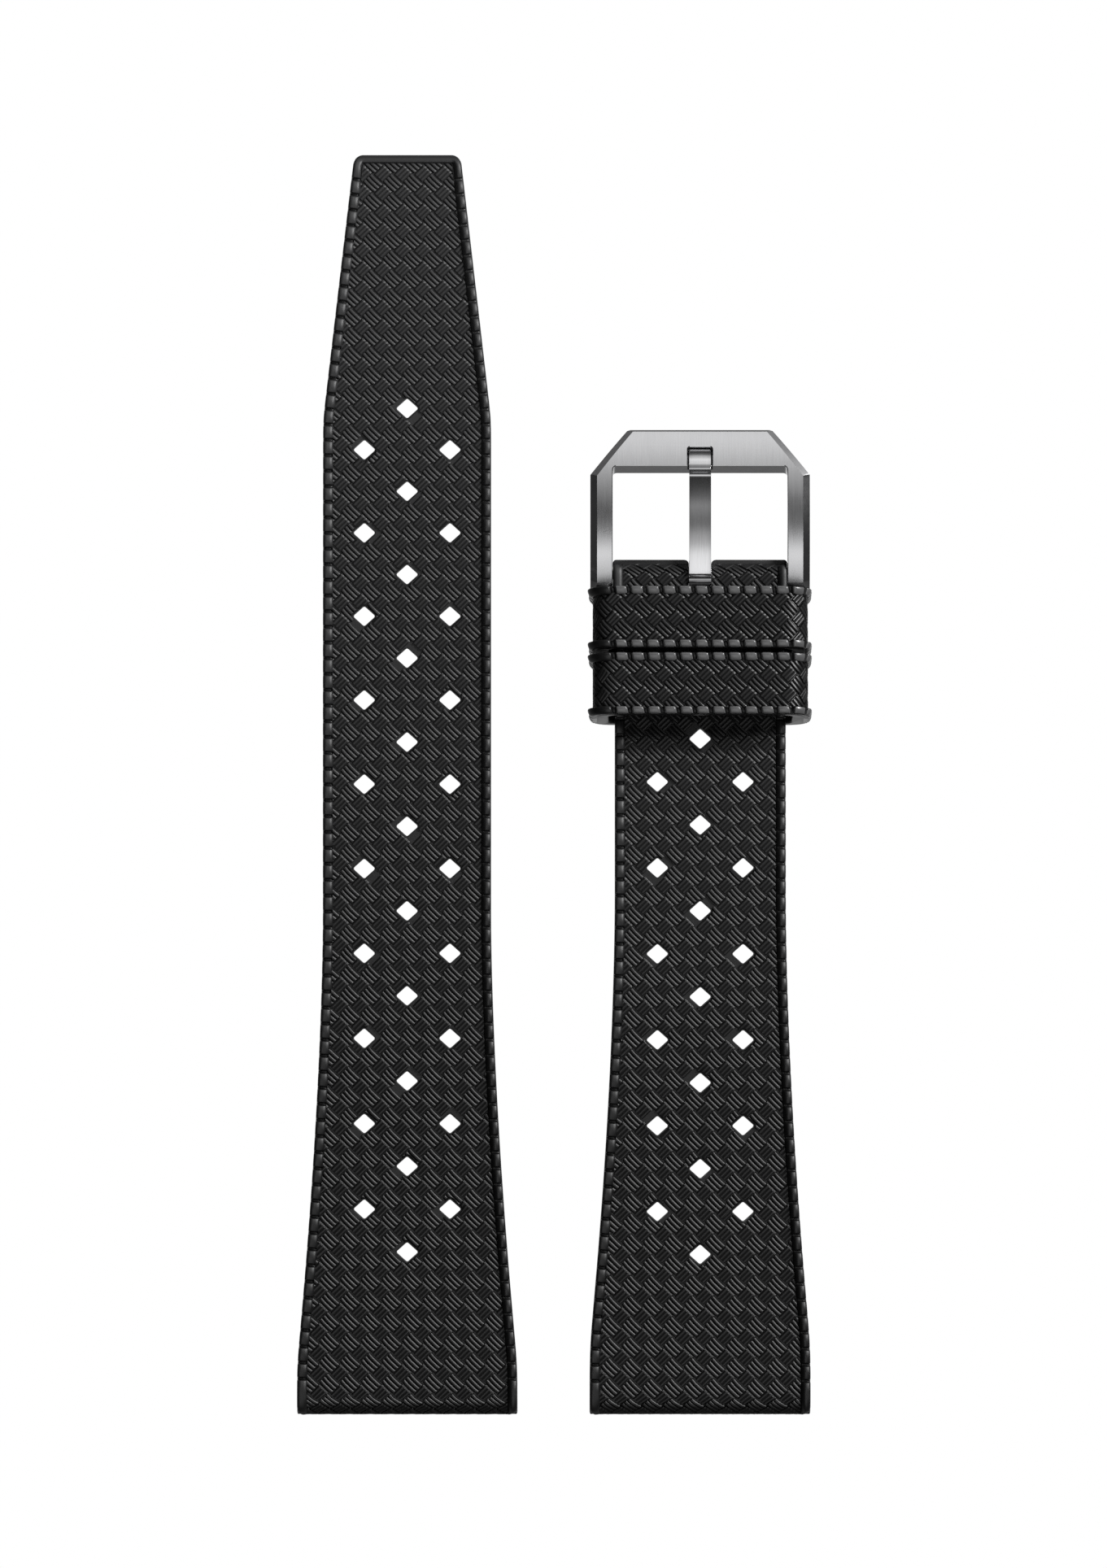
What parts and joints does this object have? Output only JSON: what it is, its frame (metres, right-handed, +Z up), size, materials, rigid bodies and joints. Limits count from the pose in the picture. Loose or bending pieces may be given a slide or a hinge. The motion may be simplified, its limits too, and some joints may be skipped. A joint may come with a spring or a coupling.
{
  "type": "watch strap",
  "caption": "Two-piece moulded rubber watch strap with woven texture, diamond holes, two sliding keepers and a pin buckle on a spring bar.",
  "frame": {"origin": "on the table, under the middle of the layout: the two halves lie face up side by side with their lug ends level", "axes": "+Z up out of the woven face, +Y from the lug ends to the tail tip and buckle, +X across from the tail half to the buckle half"},
  "size_m": [0.0473, 0.1162, 0.0097],
  "materials": {
    "strap_rubber": "moulded, semi-gloss",
    "keeper_rubber": "moulded, semi-gloss",
    "buckle_steel": "brushed faces, polished bevels",
    "tongue_steel": "polished",
    "bar_steel": "satin",
    "spring_steel": "drawn wire"
  },
  "bodies": {
    "buckle_half": {"short_strap": "strap_rubber", "spring_bar_tube": "bar_steel", "spring_bar_spring": "spring_steel"},
    "tail_half": {"long_strap": "strap_rubber"},
    "keeper_1": {"front_keeper": "keeper_rubber"},
    "keeper_2": {"rear_keeper": "keeper_rubber"},
    "frame": {"buckle_frame": "buckle_steel"},
    "tongue": {"buckle_tongue": "tongue_steel"},
    "bar_tip_left": {"spring_bar_tip_left": "bar_steel"},
    "bar_tip_right": {"spring_bar_tip_right": "bar_steel"}
  },
  "joints": [
    {"name": "buckle_hinge", "type": "hinge", "parent": "buckle_half", "child": "frame", "pos_m": [0.01348, 0.0194, 0.00275], "axis": [1, 0, 0], "range_deg": [-75, 15]},
    {"name": "tongue_hinge", "type": "hinge", "parent": "frame", "child": "tongue", "pos_m": [0.01348, 0.0194, 0.00275], "axis": [1, 0, 0], "range_deg": [0, 60]},
    {"name": "front_keeper_slide", "type": "slide", "parent": "buckle_half", "child": "keeper_1", "axis": [0, -0.9974, 0.0715], "range_m": [0, 0.01]},
    {"name": "rear_keeper_slide", "type": "slide", "parent": "keeper_1", "child": "keeper_2", "axis": [0, -0.9998, 0.0175], "range_m": [0, 0.01]},
    {"name": "bar_tip_left_press", "type": "slide", "parent": "buckle_half", "child": "bar_tip_left", "axis": [1, 0, 0], "range_m": [0, 0.00125], "stiffness_N_per_m": 40, "deforming": ["spring_bar_spring"]},
    {"name": "bar_tip_right_press", "type": "slide", "parent": "buckle_half", "child": "bar_tip_right", "axis": [-1, 0, 0], "range_m": [0, 0.00125], "stiffness_N_per_m": 40, "deforming": ["spring_bar_spring"]},
    {"name": "tail_half_place", "type": "slide", "parent": "buckle_half", "child": "tail_half", "axis": [-1, 0, 0], "range_m": [0, 0.05]}
  ]
}
